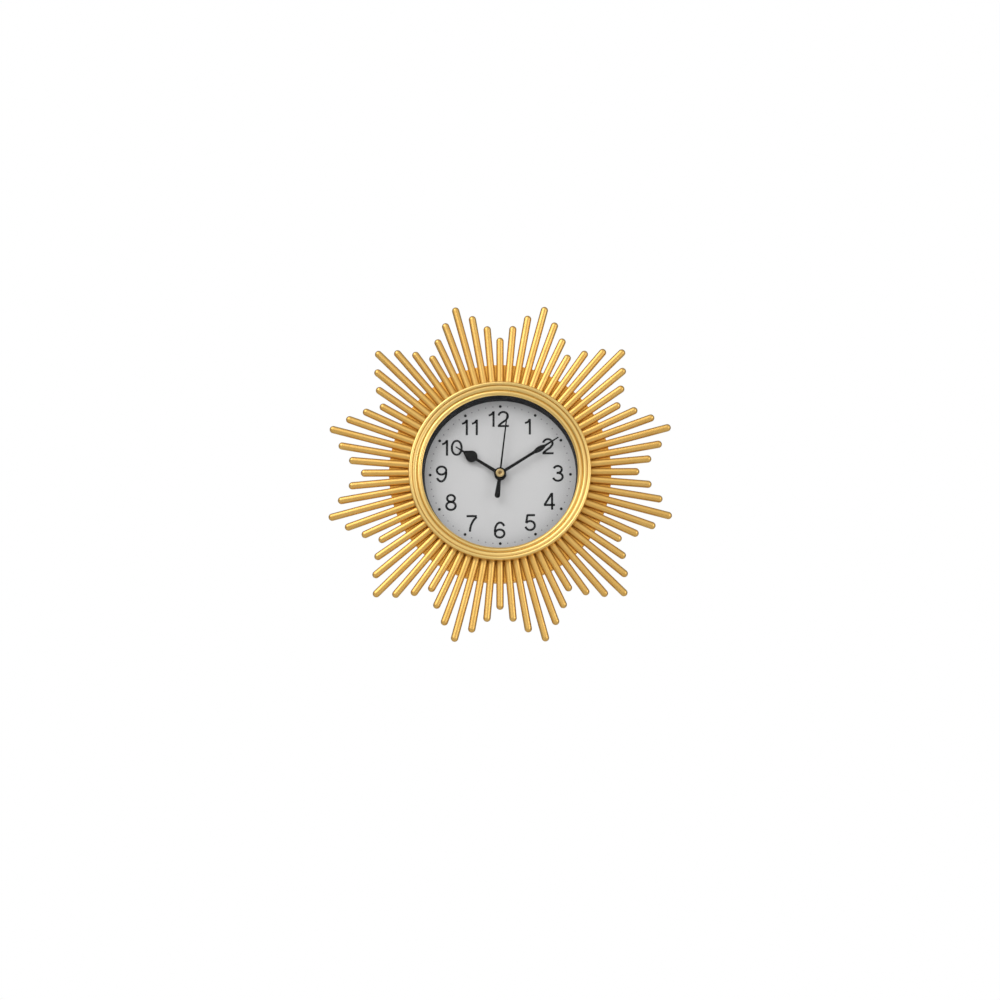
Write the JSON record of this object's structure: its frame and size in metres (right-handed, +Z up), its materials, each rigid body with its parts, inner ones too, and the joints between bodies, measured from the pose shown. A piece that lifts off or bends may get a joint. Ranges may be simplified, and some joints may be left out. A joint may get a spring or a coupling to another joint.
{
  "type": "sunburst wall clock",
  "caption": "Round wall clock with a quartz movement, set in a sunburst of gilt rays of varying length behind a moulded ring.",
  "frame": {"origin": "where the axis of the hands meets the wall plane at the back of the rear case", "axes": "+Z up to 12 o'clock, +X to 3 o'clock as the dial is read, +Y into the wall, so the dial faces -Y"},
  "size_m": [0.2456, 0.0367, 0.2456],
  "materials": {
    "gilt_rays": "satin gold lacquer over moulded plastic",
    "gilt_bezel": "satin gold lacquer over moulded plastic",
    "gilt_disc": "gold lacquer, darker between the rays",
    "case_black": "fine moulded texture",
    "lens_glass": "clear and polished",
    "spacer_black": "smooth satin",
    "dial_board": "plain sheet",
    "dial_print": "printed sheet, pale grey white",
    "steel": "bright turned steel",
    "blackened_steel": "chemically blackened",
    "brass": "polished",
    "washer_rubber": "dull",
    "movement_black": "fine spark texture",
    "gear_acetal": "natural white acetal",
    "bridge_acetal": "natural grey acetal",
    "copper_wire": "enamelled copper winding",
    "board_laminate": "phenolic paper laminate",
    "chip_resin": "poured resin",
    "magnet": "ground ferrite",
    "soft_iron": "stamped and tumbled",
    "battery_jacket": "printed film over steel",
    "contact_nickel": "nickel plated spring strip",
    "hand_black": "satin black paint"
  },
  "bodies": {
    "case": {"rays_shortest": "gilt_rays", "rays_short": "gilt_rays", "rays_long": "gilt_rays", "rays_longest": "gilt_rays", "backing_disc": "gilt_disc", "bezel_ring": "gilt_bezel", "lens": "lens_glass", "spacer_ring": "spacer_black", "dial_plate": "dial_board", "dial_face": "dial_print", "rear_case": "case_black", "case_screws": "steel", "back_plate": "case_black", "back_plate_screws": "steel", "movement_case": "movement_black", "movement_cover": "movement_black", "train_bridge": "bridge_acetal", "bridge_screws": "steel", "threaded_bushing": "brass", "rubber_washer": "washer_rubber", "flat_washer": "blackened_steel", "hex_nut": "blackened_steel", "stator": "soft_iron", "coil_core": "soft_iron", "coil_bobbin": "gear_acetal", "coil_winding": "copper_wire", "circuit_board": "board_laminate", "circuit_chip": "chip_resin", "quartz_crystal": "steel", "contact_positive": "contact_nickel", "contact_negative": "contact_nickel"},
    "seconds": {"second_hand": "hand_black", "hand_cap": "brass", "seconds_arbor": "steel", "seconds_wheel": "gear_acetal"},
    "minutes": {"minute_hand": "hand_black", "cannon_pinion": "brass"},
    "hours": {"hour_hand": "hand_black", "hour_wheel": "gear_acetal"},
    "rotor": {"rotor_magnet": "magnet", "rotor_pinion": "gear_acetal"},
    "intermediate": {"intermediate_wheel": "gear_acetal"},
    "third": {"third_wheel": "gear_acetal"},
    "centre": {"centre_wheel": "gear_acetal"},
    "motion_work": {"minute_wheel": "gear_acetal"},
    "time_setter": {"setting_pinion": "gear_acetal", "setting_knob": "movement_black"},
    "battery": {"battery_cell": "battery_jacket"}
  },
  "joints": [
    {"name": "seconds_spin", "type": "hinge", "parent": "case", "child": "seconds", "pos_m": [0, 0, 0], "axis": [0, 1, 0], "continuous": true},
    {"name": "minutes_spin", "type": "hinge", "parent": "case", "child": "minutes", "pos_m": [0, 0, 0], "axis": [0, 1, 0], "continuous": true},
    {"name": "hours_spin", "type": "hinge", "parent": "case", "child": "hours", "pos_m": [0, 0, 0], "axis": [0, 1, 0], "continuous": true},
    {"name": "rotor_spin", "type": "hinge", "parent": "case", "child": "rotor", "pos_m": [-0.015, 0, 0.00274], "axis": [0, 1, 0], "continuous": true},
    {"name": "intermediate_spin", "type": "hinge", "parent": "case", "child": "intermediate", "pos_m": [-0.00752, 0, 0.00274], "axis": [0, 1, 0], "continuous": true},
    {"name": "third_spin", "type": "hinge", "parent": "case", "child": "third", "pos_m": [0.00764, 0, 0.00764], "axis": [0, 1, 0], "continuous": true},
    {"name": "centre_spin", "type": "hinge", "parent": "case", "child": "centre", "pos_m": [0, 0, 0], "axis": [0, 1, 0], "continuous": true},
    {"name": "motion_work_spin", "type": "hinge", "parent": "case", "child": "motion_work", "pos_m": [0.0045, 0, -0.00779], "axis": [0, 1, 0], "continuous": true},
    {"name": "time_setter_spin", "type": "hinge", "parent": "case", "child": "time_setter", "pos_m": [0.0135, 0, -0.00779], "axis": [0, 1, 0], "continuous": true},
    {"name": "battery_slide", "type": "slide", "parent": "case", "child": "battery", "axis": [0, 1, 0], "range_m": [0, 0.018]}
  ],
  "couplings": [
    {"joint": "intermediate_spin", "follows": "seconds_spin", "ratio": -4},
    {"joint": "rotor_spin", "follows": "seconds_spin", "ratio": 30},
    {"joint": "third_spin", "follows": "seconds_spin", "ratio": -0.125},
    {"joint": "centre_spin", "follows": "seconds_spin", "ratio": 0.016667},
    {"joint": "motion_work_spin", "follows": "minutes_spin", "ratio": -0.33333},
    {"joint": "hours_spin", "follows": "minutes_spin", "ratio": 0.083333},
    {"joint": "time_setter_spin", "follows": "minutes_spin", "ratio": 1}
  ]
}
